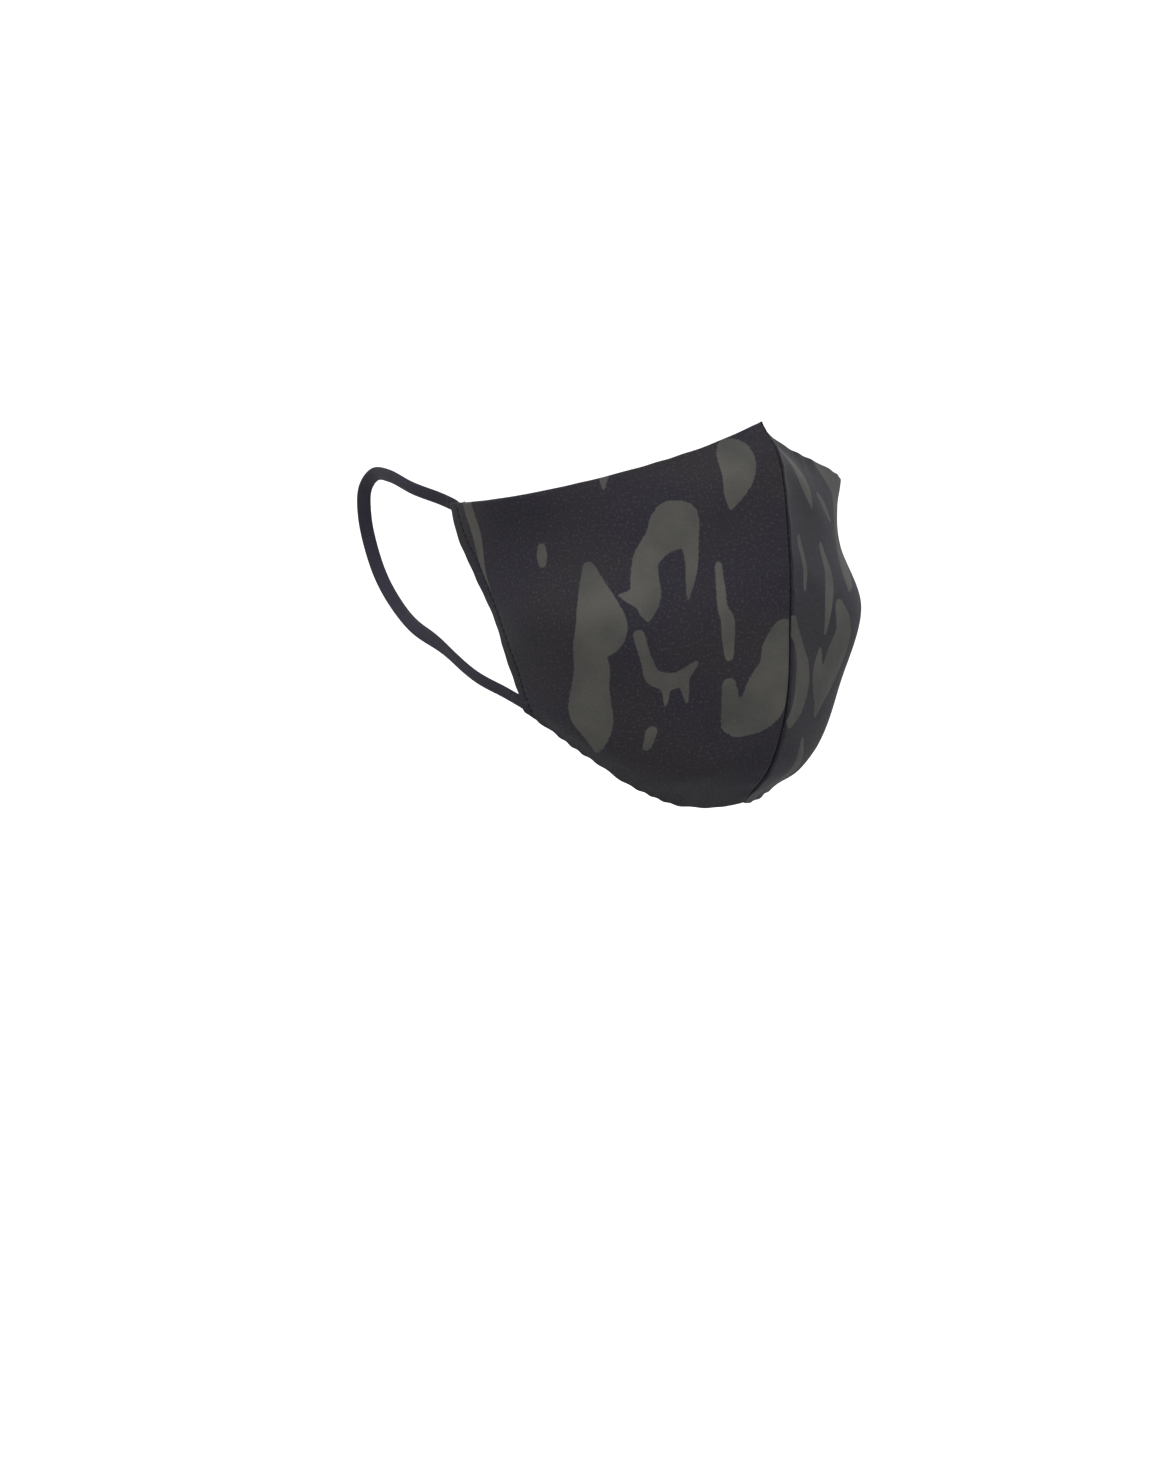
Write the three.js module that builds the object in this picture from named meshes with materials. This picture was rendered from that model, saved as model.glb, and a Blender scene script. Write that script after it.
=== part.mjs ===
// A two-panel cloth face mask with flat elastic ear loops, held open as it is on a head.
// Millimetres, +Z up, the front towards -Y and the wearer's right towards -X.
// The origin lies midway between the ears, level with the ear openings.
import * as THREE from 'three';

// Overall sizes
const halfWidth = 75; // centre plane to a top rear corner
const reach = 130; // ear line to the foremost point of the centre seam
const height = 137; // top end of the centre seam to its bottom end

// Cloth
const outerThickness = 0.6;
const liningThickness = 0.5;
const layerGap = 1.0; // room between the outer cloth and the lining, where the edge seams lie
const pieceGap = 0.3; // clearance between pieces that touch
const liningInset = 0.9; // how far the lining stops short of the top and bottom edges

// Side hem: the outer cloth turned in over the lining
const hemWidth = 7;
const hemStitchInset = 4.5; // stitch line to the side edge
const edgeStitchInset = 3; // hidden stitch line to the top and bottom edges

// Centre seam: the turned-in edges of the outer panels, sewn together as one ridge
const ridgeSetback = 3; // front of the ridge behind the seam line
const ridgeDepth = 3;
const ridgeSpread = 0.3; // share of a row over which the lining comes off the ridge

// Threads
const threadRadius = 0.2;
const tackLength = 5;
const tackWidth = 1.5;
const tackThickness = 0.5;

// Flat elastic ear loops
const elasticWidth = 5;
const elasticThickness = 1.2;
const elasticTail = 9; // length sewn to the hem
const elasticSeat = 1; // clearance from the curved hem to the flat elastic
const elasticLead = 3.35; // side edge to the line that the loop swings on
const topInset = 5.4; // middle of the elastic to the mask's top corner, along the side edge
const bottomInset = 1; // the same at the bottom corner
const bowTwist = THREE.MathUtils.degToRad(65); // turn of the elastic where it lies behind the ear
const turnIn = [0.14, 0.32]; // shares of the elastic's length over which it turns, from the top
const turnOut = [0.7, 0.86]; // and over which it turns back

// The right half's cloth, from the top edge down. Each row runs from the centre seam to the side
// edge and holds a curve's end points with the two points that pull it outwards between them.
// x is a share of halfWidth, y of reach and z of height.
const rows = [
  [[0, -0.87, 0.22], [-0.2, -0.75, 0.125], [-1.2, -0.72, 0.025], [-1.005, -0.257, 0]],
  [[0, -0.95, 0.13], [-0.25, -0.8, 0.06], [-1.05, -0.74, -0.02], [-0.99, -0.28, -0.08]],
  [[0, -0.993, -0.09], [-0.28, -0.85, -0.1], [-0.98, -0.765, -0.11], [-0.97, -0.335, -0.17]],
  [[0, -1, -0.27], [-0.4, -0.89, -0.28], [-1.07, -0.81, -0.275], [-0.93, -0.395, -0.28]],
  [[0, -0.985, -0.5], [-0.42, -0.88, -0.5], [-0.86, -0.765, -0.46], [-0.885, -0.423, -0.39]],
  [[0, -0.912, -0.66], [-0.38, -0.84, -0.67], [-0.76, -0.72, -0.62], [-0.845, -0.435, -0.465]],
  [[0, -0.805, -0.754], [-0.275, -0.655, -0.81], [-0.565, -0.705, -0.695], [-0.813, -0.445, -0.522]],
];

// The elastic's free route round the right ear, from the top corner back and down: how far it
// stands out from the top corner's width, then y and z.
const earRoute = [
  [3, -15, 5],
  [4.5, -2, 9],
  [3.5, 9, 9],
  [2, 17.5, 3],
  [0, 20.5, -7],
  [-2, 19.5, -18],
  [-3, 14.5, -28.5],
  [-3.5, 6, -37.5],
  [-3.5, -5, -44.5],
  [-4.5, -20, -50.5],
  [-8, -38, -60.8],
];
const bowStart = 1; // route points where the loop's bow begins and ends
const bowEnd = 8;

// Facets
const acrossSteps = 15;
const downSteps = 16;
const turnSteps = 4;
const threadSides = 6;
const roundSteps = 6; // round end of a bar tack
const elasticSteps = { end: 4, upper: 8, bow: 26, lower: 12 };
const halvings = 30; // of the search for the parting plane

const seamColumn = 0;
const sideColumn = 3;
const outer = new THREE.MeshStandardMaterial({ color: 0x2b2a2f, roughness: 0.9, metalness: 0 });
const inner = new THREE.MeshStandardMaterial({ color: 0x1d1d20, roughness: 0.92, metalness: 0 });
const thread = new THREE.MeshStandardMaterial({ color: 0x151519, roughness: 0.7, metalness: 0 });
const elastic = new THREE.MeshStandardMaterial({ color: 0x23222b, roughness: 0.85, metalness: 0 });

const columns = rows[0].map((_, column) => new THREE.CatmullRomCurve3(
  rows.map((row) => {
    const [x, y, z] = row[column];
    return new THREE.Vector3(x * halfWidth, y * reach, z * height);
  }),
));

// The cloth's outer face: across runs from 0 at the seam to 1 at the side edge, down from 0 to 1.
function rowCurve(down) {
  return new THREE.CubicBezierCurve3(...columns.map((column) => column.getPoint(down)));
}

function facePoint(across, down) {
  return rowCurve(down).getPoint(across);
}

function faceFrame(across, down) {
  const step = 0.004; // a small share either way, for the slopes
  const point = facePoint(across, down);
  const back = facePoint(Math.min(across + step, 1), down)
    .sub(facePoint(Math.max(across - step, 0), down))
    .normalize();
  const fall = facePoint(across, Math.min(down + step, 1))
    .sub(facePoint(across, Math.max(down - step, 0)));
  const normal = back.clone().cross(fall).normalize();
  return { point, back, normal };
}

function below(across, down, depth) {
  const { point, normal } = faceFrame(across, down);
  return point.addScaledVector(normal, -depth);
}

// How far along a row a face at this depth meets the plane that parts the two halves.
function seamStart(down, depthAt) {
  const parting = -pieceGap / 2;
  let near = 0;
  let far = 0.5;
  for (let halving = 0; halving < halvings; halving += 1) {
    const middle = (near + far) / 2;
    if (below(middle, down, depthAt(middle)).x > parting) near = middle;
    else far = middle;
  }
  return far;
}

const seamLength = columns[seamColumn].getLength();
const sideLength = columns[sideColumn].getLength();
const edgeShare = edgeStitchInset / seamLength;

// How far across a row a place is that lies this far along the cloth from the side edge
function shareFromSide(down, distance) {
  const row = rowCurve(down);
  return row.getUtoTmapping(0, row.getLength() - distance);
}

// Rows of facets, with one along each hidden edge stitch
function downLines(inset = 0) {
  const lines = [inset];
  for (let step = 0; step <= downSteps; step += 1) {
    lines.push(edgeShare + (1 - 2 * edgeShare) * (step / downSteps));
  }
  lines.push(1 - inset);
  return lines;
}

// Places across a row, with one where the turned-in hem ends and one on its stitch line
function acrossLines(down, depthAt) {
  const start = seamStart(down, depthAt);
  const hemStart = shareFromSide(down, hemWidth);
  const lines = [];
  for (let step = 0; step <= acrossSteps; step += 1) {
    lines.push(start + (hemStart - start) * (step / acrossSteps));
  }
  lines.push(shareFromSide(down, hemStitchInset), 1);
  return lines;
}
const hemStitchLine = acrossSteps + 1; // the place of the hem's stitch line in acrossLines

// A closed sheet between two faces, each a list of equally long rows of points.
function closedSheet(front, back) {
  const rowsCount = front.length;
  const perRow = front[0].length;
  const positions = [...front, ...back].flat().flatMap((point) => point.toArray());
  const backStart = rowsCount * perRow;
  const indices = [];
  const quad = (a, b, c, d) => indices.push(a, b, c, a, c, d);
  for (let row = 0; row < rowsCount - 1; row += 1) {
    for (let place = 0; place < perRow - 1; place += 1) {
      const a = row * perRow + place;
      const b = a + 1;
      const c = b + perRow;
      const d = a + perRow;
      quad(a, b, c, d);
      quad(backStart + a, backStart + d, backStart + c, backStart + b);
    }
  }
  const rim = [];
  for (let place = 0; place < perRow; place += 1) rim.push(place);
  for (let row = 1; row < rowsCount; row += 1) rim.push(row * perRow + perRow - 1);
  for (let place = perRow - 2; place >= 0; place -= 1) rim.push((rowsCount - 1) * perRow + place);
  for (let row = rowsCount - 2; row >= 1; row -= 1) rim.push(row * perRow);
  rim.forEach((from, index) => {
    const to = rim[(index + 1) % rim.length];
    quad(to, from, backStart + from, backStart + to);
  });
  const geometry = new THREE.BufferGeometry();
  geometry.setAttribute('position', new THREE.Float32BufferAttribute(positions, 3));
  geometry.setIndex(indices);
  geometry.computeVertexNormals();
  return geometry;
}

// The same geometry on the wearer's other side
function mirrored(geometry) {
  const copy = geometry.index ? geometry.toNonIndexed() : geometry.clone();
  const position = copy.getAttribute('position');
  for (let corner = 0; corner < position.count; corner += 3) {
    const triangle = [0, 1, 2].map((k) => new THREE.Vector3().fromBufferAttribute(position, corner + k));
    [0, 2, 1].forEach((from, k) => {
      position.setXYZ(corner + k, -triangle[from].x, triangle[from].y, triangle[from].z);
    });
  }
  copy.computeVertexNormals();
  return copy;
}

function threadAlong(points) {
  const section = new THREE.Shape();
  for (let side = 0; side < threadSides; side += 1) {
    const angle = (2 * Math.PI * side) / threadSides;
    const [x, y] = [threadRadius * Math.cos(angle), threadRadius * Math.sin(angle)];
    if (side === 0) section.moveTo(x, y);
    else section.lineTo(x, y);
  }
  section.closePath();
  const path = new THREE.CatmullRomCurve3(points);
  const steps = 2 * (points.length - 1);
  return new THREE.ExtrudeGeometry(section, { steps, extrudePath: path, bevelEnabled: false });
}

// Depths of the layers below the outer face
const liningFront = outerThickness + layerGap;
const liningBack = liningFront + liningThickness;
const hemFront = liningBack + pieceGap;
const hemBack = hemFront + outerThickness;
const elasticMiddle = hemBack + elasticSeat + elasticThickness / 2;

// The lining comes off the ridge of the centre seam, which lies between the layers.
const ridgeRoom = ridgeSetback + ridgeDepth + 2 * pieceGap + outerThickness - liningFront;
function liningDepth(depth) {
  return (across) => {
    const share = THREE.MathUtils.smoothstep(across, 0, ridgeSpread);
    return depth + ridgeRoom * (1 - share);
  };
}

// Outer cloth: face, turn of the side hem and the part turned in
function outerPanel() {
  const front = [];
  const back = [];
  const turnRadius = hemBack / 2;
  for (const down of downLines()) {
    const frontRow = acrossLines(down, () => 0).map((across) => below(across, down, 0));
    const backRow = acrossLines(down, () => outerThickness)
      .map((across) => below(across, down, outerThickness));
    const edge = faceFrame(1, down);
    const centre = below(1, down, turnRadius);
    for (let step = 1; step <= turnSteps; step += 1) {
      const angle = (Math.PI * step) / turnSteps;
      const outwards = edge.normal.clone().multiplyScalar(Math.cos(angle))
        .addScaledVector(edge.back, Math.sin(angle));
      frontRow.push(centre.clone().addScaledVector(outwards, turnRadius));
      backRow.push(centre.clone().addScaledVector(outwards, turnRadius - outerThickness));
    }
    for (const inset of [hemStitchInset, hemWidth]) {
      const across = shareFromSide(down, inset);
      frontRow.push(below(across, down, hemBack));
      backRow.push(below(across, down, hemFront));
    }
    front.push(frontRow);
    back.push(backRow);
  }
  return closedSheet(front, back);
}

function liningPanel() {
  const inset = liningInset / seamLength;
  const face = (depth) => downLines(inset).map((down) => {
    const depthAt = liningDepth(depth);
    return acrossLines(down, depthAt).map((across) => below(across, down, depthAt(across)));
  });
  return closedSheet(face(liningFront), face(liningBack));
}

// The seam line in the centre plane, moved back from the cloth's outer face
function seamPoint(down, setback) {
  const line = columns[seamColumn];
  const along = line.getTangent(down);
  return line.getPoint(down).add(new THREE.Vector3(0, -along.z, along.y).multiplyScalar(setback));
}

// Two plies of cloth, one on each side of the centre plane
function seamRidge() {
  const face = (x) => downLines(edgeShare / 2).map((down) => (
    [0, ridgeDepth].map((depth) => seamPoint(down, ridgeSetback + depth).setX(x))
  ));
  return closedSheet(face(-outerThickness), face(outerThickness));
}

// Facet rows from one hidden edge stitch to the other, which is as far as a seam is sewn
function sewnLines() {
  return downLines(edgeShare).slice(1, -1);
}

function seamThread() {
  const setback = ridgeSetback + ridgeDepth - 2 * threadRadius;
  const x = -(outerThickness + pieceGap + threadRadius);
  return threadAlong(sewnLines().map((down) => seamPoint(down, setback).setX(x)));
}

function liningSeamThread() {
  const setback = ridgeSetback + ridgeDepth + pieceGap + threadRadius;
  return threadAlong(sewnLines().map((down) => seamPoint(down, setback)));
}

function hemThread() {
  const proud = pieceGap + threadRadius;
  return threadAlong(sewnLines().map((down) => {
    const lines = acrossLines(down, () => 0);
    return below(lines[hemStitchLine], down, -proud);
  }));
}

// The hidden seam of outer cloth and lining, from clear of the centre seam to the hem
function edgeThread(down) {
  const clearOfSeam = 2;
  const depth = outerThickness + layerGap / 2;
  const lines = acrossLines(down, () => depth).slice(clearOfSeam, hemStitchLine);
  return threadAlong(lines.map((across) => below(across, down, depth)));
}

// A corner where the elastic is sewn flat to the inside of the hem, leading off towards the ear.
// Its distances run from the side edge, and are negative on the hem.
function corner(down, towards) {
  const sewnMiddle = shareFromSide(down, elasticTail / 2);
  const { point, normal } = faceFrame(sewnMiddle, down);
  const seat = point.addScaledVector(normal, -elasticMiddle);
  const lead = towards.clone().sub(seat).projectOnPlane(normal).normalize();
  const at = (distance) => seat.clone().addScaledVector(lead, distance + elasticTail / 2);
  return { lead, normal, at };
}

const route = earRoute.map(([out, y, z]) => new THREE.Vector3(-halfWidth - out, y, z));
const topCorner = corner(topInset / sideLength, route[0]);
const bottomCorner = corner(1 - bottomInset / sideLength, route[route.length - 1]);
const sewnPlaces = [-elasticTail, -elasticTail / 2, 0, elasticLead];
const loopPoints = [
  ...sewnPlaces.map(topCorner.at),
  ...route,
  ...sewnPlaces.map(bottomCorner.at).reverse(),
];
const loopLine = new THREE.CatmullRomCurve3(loopPoints);
loopLine.arcLengthDivisions = 800;
const loopLength = loopLine.getLength();

// How far along the elastic, in millimetres, it passes one of its points
function reachOf(index) {
  const lengths = loopLine.getLengths();
  return lengths[Math.round((index / (loopPoints.length - 1)) * (lengths.length - 1))];
}

// The elastic is flat on the cloth at its ends and turns to lie on the ear's root in between.
function elasticWidthAlong(distance) {
  const share = distance / loopLength;
  const middle = THREE.MathUtils.smoothstep(share, ...turnIn)
    * (1 - THREE.MathUtils.smoothstep(share, ...turnOut));
  const along = loopLine.getTangentAt(share);
  const flat = topCorner.normal.clone().lerp(bottomCorner.normal, share)
    .lerp(new THREE.Vector3(-1, 0, 0), middle)
    .projectOnPlane(along)
    .normalize();
  const edgewise = along.clone().cross(flat);
  const twist = bowTwist * middle;
  return edgewise.multiplyScalar(Math.cos(twist)).addScaledVector(flat, Math.sin(twist));
}

function elasticPiece(from, to, steps) {
  const front = [];
  const back = [];
  for (let step = 0; step <= steps; step += 1) {
    const distance = from + (to - from) * (step / steps);
    const centre = loopLine.getPointAt(distance / loopLength);
    const width = elasticWidthAlong(distance);
    const out = width.clone().cross(loopLine.getTangentAt(distance / loopLength)).normalize();
    const place = (side, face) => centre.clone()
      .addScaledVector(width, (side * elasticWidth) / 2)
      .addScaledVector(out, (face * elasticThickness) / 2);
    front.push([place(-1, 1), place(1, 1)]);
    back.push([place(-1, -1), place(1, -1)]);
  }
  return closedSheet(front, back);
}

const cut = pieceGap / 2; // kept free at each end of a length of elastic
const topLead = reachOf(sewnPlaces.length - 1);
const bowFrom = reachOf(sewnPlaces.length + bowStart);
const bowTo = reachOf(sewnPlaces.length + bowEnd);
const bottomLead = reachOf(loopPoints.length - sewnPlaces.length);

// A bar tack: close stitches across the elastic that hold its end to the hem
function tackBar() {
  const outline = new THREE.Shape();
  const straight = (tackLength - tackWidth) / 2;
  outline.absarc(straight, 0, tackWidth / 2, -Math.PI / 2, Math.PI / 2);
  outline.absarc(-straight, 0, tackWidth / 2, Math.PI / 2, (3 * Math.PI) / 2);
  outline.closePath();
  return new THREE.ExtrudeGeometry(outline, {
    depth: tackThickness,
    bevelEnabled: false,
    curveSegments: roundSteps,
  });
}

function namedMesh(name, geometry, material) {
  const mesh = new THREE.Mesh(geometry, material);
  mesh.name = name;
  return mesh;
}

function tackMesh(name, place, side) {
  const mesh = namedMesh(name, tackBar(), thread);
  const inwards = place.normal.clone().negate();
  const across = place.lead.clone().cross(inwards);
  const along = across.clone().cross(inwards);
  const middle = place.at(-elasticTail / 2)
    .addScaledVector(inwards, elasticThickness / 2 + pieceGap);
  const axes = [across, along.negate(), inwards];
  if (side === 'left') {
    middle.x = -middle.x;
    axes.forEach((axis) => { axis.x = -axis.x; });
    axes[1].negate();
  }
  mesh.position.copy(middle);
  mesh.quaternion.setFromRotationMatrix(new THREE.Matrix4().makeBasis(...axes));
  return mesh;
}

const mask = new THREE.Group();
const centre = new THREE.Group();
centre.add(
  namedMesh('centre_seam_ridge', seamRidge(), outer),
  namedMesh('centre_seam_thread', seamThread(), thread),
  namedMesh('lining_seam_thread', liningSeamThread(), thread),
);
mask.add(centre);

const halfPieces = [
  ['outer_panel', outerPanel(), outer],
  ['lining_panel', liningPanel(), inner],
  ['side_hem_thread', hemThread(), thread],
  ['top_edge_thread', edgeThread(edgeShare), thread],
  ['bottom_edge_thread', edgeThread(1 - edgeShare), thread],
  ['elastic_top_end', elasticPiece(0, topLead - cut, elasticSteps.end), elastic],
  ['elastic_bottom_end', elasticPiece(bottomLead + cut, loopLength, elasticSteps.end), elastic],
];
const loopPieces = [
  ['elastic_upper_strand', elasticPiece(topLead + cut, bowFrom - cut, elasticSteps.upper), elastic],
  ['elastic_bow', elasticPiece(bowFrom + cut, bowTo - cut, elasticSteps.bow), elastic],
  ['elastic_lower_strand', elasticPiece(bowTo + cut, bottomLead - cut, elasticSteps.lower), elastic],
];

for (const side of ['right', 'left']) {
  const onSide = (geometry) => (side === 'left' ? mirrored(geometry) : geometry);
  const halfGroup = new THREE.Group();
  for (const [name, geometry, material] of halfPieces) {
    halfGroup.add(namedMesh(`${side}_${name}`, onSide(geometry), material));
  }
  halfGroup.add(
    tackMesh(`${side}_top_tack`, topCorner, side),
    tackMesh(`${side}_bottom_tack`, bottomCorner, side),
  );
  const loopGroup = new THREE.Group();
  for (const [name, geometry, material] of loopPieces) {
    loopGroup.add(namedMesh(`${side}_${name}`, onSide(geometry), material));
  }
  halfGroup.add(loopGroup);
  mask.add(halfGroup);
}

export default mask;
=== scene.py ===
from math import cos, pi, radians, sin

import bpy
import numpy as np
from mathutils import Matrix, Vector


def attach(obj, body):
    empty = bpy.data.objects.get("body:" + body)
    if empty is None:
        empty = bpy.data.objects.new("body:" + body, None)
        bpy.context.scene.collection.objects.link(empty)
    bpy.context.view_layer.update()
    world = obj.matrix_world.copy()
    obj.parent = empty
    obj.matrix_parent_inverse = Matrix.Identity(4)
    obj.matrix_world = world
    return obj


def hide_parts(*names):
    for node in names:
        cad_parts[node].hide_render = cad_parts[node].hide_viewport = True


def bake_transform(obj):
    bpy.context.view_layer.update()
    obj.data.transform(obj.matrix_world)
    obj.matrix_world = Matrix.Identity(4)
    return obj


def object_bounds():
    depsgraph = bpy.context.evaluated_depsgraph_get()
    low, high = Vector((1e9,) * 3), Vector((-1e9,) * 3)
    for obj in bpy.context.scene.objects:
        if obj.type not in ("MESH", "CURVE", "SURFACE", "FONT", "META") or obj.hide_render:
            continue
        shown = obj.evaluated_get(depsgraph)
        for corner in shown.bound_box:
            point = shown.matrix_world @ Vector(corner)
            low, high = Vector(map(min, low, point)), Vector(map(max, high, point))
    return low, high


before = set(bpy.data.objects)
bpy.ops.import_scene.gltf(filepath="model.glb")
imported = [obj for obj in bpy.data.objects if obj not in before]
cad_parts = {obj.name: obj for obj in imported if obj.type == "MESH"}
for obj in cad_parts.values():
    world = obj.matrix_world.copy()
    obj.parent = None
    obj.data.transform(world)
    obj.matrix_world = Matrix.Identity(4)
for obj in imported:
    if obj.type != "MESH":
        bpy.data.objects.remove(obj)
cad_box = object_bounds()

mm = 0.001

# Camera, table and light. The mask is seen from the wearer's right and a little from above,
# with room left below it as if head and shoulders wore it. The table is plain and pale, and
# the light is one wide soft lamp high in front of the mask, with two weaker ones.
low, high = (Vector(corner) for corner in cad_box)
middle = (low + high) / 2
azimuth, elevation = radians(-37), radians(6.5)
looking = Vector((-sin(azimuth) * cos(elevation), cos(azimuth) * cos(elevation), -sin(elevation)))
to_right = Vector((cos(azimuth), sin(azimuth), 0))
to_top = to_right.cross(looking)
aim_left, aim_below = 25.4 * mm, 44.9 * mm
aim = middle - aim_left * to_right - aim_below * to_top
camera_distance = 1.555
lens_length = 107.1

camera = bpy.data.objects.new("camera", bpy.data.cameras.new("camera"))
camera.data.lens = lens_length
camera.location = aim - camera_distance * looking
camera.rotation_euler = looking.to_track_quat("-Z", "Y").to_euler()
bpy.context.collection.objects.link(camera)
bpy.context.scene.camera = camera
bpy.context.scene.view_settings.view_transform = "Standard"

world = bpy.data.worlds.new("studio")
world.use_nodes = True
world.node_tree.nodes["Background"].inputs["Color"].default_value = (1, 1, 1, 1)
world.node_tree.nodes["Background"].inputs["Strength"].default_value = 1.0
bpy.context.scene.world = world

table_drop = 0.215
table_size = 12
table_mesh = bpy.data.meshes.new("table")
quarters = ((-1, -1), (1, -1), (1, 1), (-1, 1))
table_corners = [(x * table_size, y * table_size, low.z - table_drop) for x, y in quarters]
table_mesh.from_pydata(table_corners, [], [(0, 1, 2, 3)])
table = bpy.data.objects.new("table", table_mesh)
table_paint = bpy.data.materials.new("table_paint")
table_paint.use_nodes = True
paint_shader = table_paint.node_tree.nodes["Principled BSDF"]
paint_shader.inputs["Base Color"].default_value = (0.58, 0.58, 0.58, 1)
paint_shader.inputs["Roughness"].default_value = 0.9
table_mesh.materials.append(table_paint)
bpy.context.collection.objects.link(table)


def hang_lamp(light, sideways, above, towards_camera):
    """Puts a lamp up, at distances in metres from the mask, and turns it to the mask."""
    level = Vector((looking.x, looking.y, 0)).normalized()
    light.location = middle + sideways * to_right + Vector((0, 0, above)) - towards_camera * level
    light.rotation_euler = (middle - light.location).to_track_quat("-Z", "Y").to_euler()
    bpy.context.collection.objects.link(light)


def soft_box(name, size, power):
    light = bpy.data.objects.new(name, bpy.data.lights.new(name, "AREA"))
    light.data.size = size
    light.data.energy = power
    return light


sky_lamp = bpy.data.objects.new("sky_lamp", bpy.data.lights.new("sky_lamp", "SUN"))
sky_lamp.data.energy = 4.4
sky_lamp.data.angle = radians(35)
hang_lamp(sky_lamp, -0.3, 1.6, 1.1)
hang_lamp(soft_box("right_lamp", 1.0, 3), 1.6, 0.6, 0.6)
hang_lamp(soft_box("back_lamp", 1.2, 8), 0.3, 1.2, -1.5)


# Outer cloth, right and left: two mirrored panels of printed cotton and polyester cloth, cut so
# that their curved front edges make the cup over nose and chin when sewn together. The top and
# bottom edges are bagged out over the lining, and the side edge is turned in as a hem.
half_width = 75 * mm
reach = 130 * mm
height = 137 * mm
# From the top edge down, each row runs from the centre seam to the side edge: its ends, with
# the two points that pull the cloth outwards between them, as shares of those three sizes.
rows = [
    [[0, -0.87, 0.22], [-0.2, -0.75, 0.125], [-1.2, -0.72, 0.025], [-1.005, -0.257, 0]],
    [[0, -0.95, 0.13], [-0.25, -0.8, 0.06], [-1.05, -0.74, -0.02], [-0.99, -0.28, -0.08]],
    [[0, -0.993, -0.09], [-0.28, -0.85, -0.1], [-0.98, -0.765, -0.11], [-0.97, -0.335, -0.17]],
    [[0, -1, -0.27], [-0.4, -0.89, -0.28], [-1.07, -0.81, -0.275], [-0.93, -0.395, -0.28]],
    [[0, -0.985, -0.5], [-0.42, -0.88, -0.5], [-0.86, -0.765, -0.46], [-0.885, -0.423, -0.39]],
    [[0, -0.912, -0.66], [-0.38, -0.84, -0.67], [-0.76, -0.72, -0.62], [-0.845, -0.435, -0.465]],
    [[0, -0.805, -0.754], [-0.275, -0.655, -0.81], [-0.565, -0.705, -0.695], [-0.813, -0.445, -0.522]],
]
net = np.array(rows) * (half_width, reach, height)
cloth_thickness = 0.35 * mm
hem_stitch_inset = 4.5 * mm
hem_turn = 1.25 * mm  # radius of the turned side edge
edge_turn = 0.75 * mm  # radius of the turned top and bottom edges
returned_edge_turn = 0.4 * mm  # the same where the hem has been turned in
seam_soften = 3 * mm  # nearer the seam than this, layers come to lie straight behind each other
seam_gap = 0.05 * mm  # from the middle to each panel's front edge


def unit(vectors):
    return vectors / np.linalg.norm(vectors, axis=-1, keepdims=True)


def ease(values, start, end):
    share = np.clip((values - start) / (end - start), 0, 1)
    return share * share * (3 - 2 * share)


def smooth_line(points, share):
    """A curve through the points that doesn't overshoot them, evaluated at shares of its knots."""
    points = np.asarray(points, float)
    place = np.clip(np.asarray(share, float), 0, 1) * (len(points) - 1)
    knot = np.minimum(place.astype(int), len(points) - 2)
    t = (place - knot)[..., None]
    padded = np.concatenate([2 * points[:1] - points[1:2], points, 2 * points[-1:] - points[-2:-1]])
    before, start, end, after = (padded[knot + k] for k in range(4))
    gaps = [np.linalg.norm(b - a, axis=-1, keepdims=True) ** 0.5
            for a, b in ((before, start), (start, end), (end, after))]
    leave = gaps[1] * ((start - before) / gaps[0] - (end - before) / (gaps[0] + gaps[1])
                       + (end - start) / gaps[1])
    arrive = gaps[1] * ((end - start) / gaps[1] - (after - start) / (gaps[1] + gaps[2])
                        + (after - end) / gaps[2])
    return (start + leave * t + (3 * (end - start) - 2 * leave - arrive) * t**2
            + (2 * (start - end) + leave + arrive) * t**3)


def cut_face(across, down):
    """The right panel's face before any fold: across is 0 at the seam and 1 at the side edge."""
    across, down = np.broadcast_arrays(np.asarray(across, float), np.asarray(down, float))
    seam, pull, far_pull, side = (smooth_line(net[:, column], down) for column in range(4))
    a = across[..., None]
    return seam * (1 - a)**3 + 3 * pull * a * (1 - a)**2 + 3 * far_pull * a**2 * (1 - a) + side * a**3


def cut_frame(across, down, step=0.004):
    """Directions on the cut face: towards the side edge, and out of the cloth."""
    nearer, further = np.maximum(across - step, 0), np.minimum(across + step, 1)
    higher, lower = np.maximum(down - step, 0), np.minimum(down + step, 1)
    back = unit(cut_face(further, down) - cut_face(nearer, down))
    fall = cut_face(across, lower) - cut_face(across, higher)
    return back, unit(np.cross(back, fall))


# A tape measure laid on the cut cloth, in millimetres from the seam and down from mid height
tape_shares = np.linspace(0, 1, 301)
tape_face = cut_face(tape_shares[None, :], tape_shares[:, None])
from_seam = np.zeros(tape_face.shape[:2])
from_seam[:, 1:] = np.cumsum(np.linalg.norm(np.diff(tape_face, axis=1), axis=2), axis=1) / mm
from_middle = np.zeros(tape_face.shape[:2])
from_middle[1:] = np.cumsum(np.linalg.norm(np.diff(tape_face, axis=0), axis=2), axis=0) / mm
from_middle -= from_middle[len(tape_shares) // 2]
seam_length = from_middle[-1, 0] - from_middle[0, 0]


def read_tape(tape, across, down):
    a = np.clip(across, 0, 1) * (len(tape_shares) - 1)
    d = np.clip(down, 0, 1) * (len(tape_shares) - 1)
    column = np.minimum(a.astype(int), len(tape_shares) - 2)
    row = np.minimum(d.astype(int), len(tape_shares) - 2)
    a, d = a - column, d - row
    upper = tape[row, column] * (1 - a) + tape[row, column + 1] * a
    lower = tape[row + 1, column] * (1 - a) + tape[row + 1, column + 1] * a
    return upper * (1 - d) + lower * d


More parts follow.
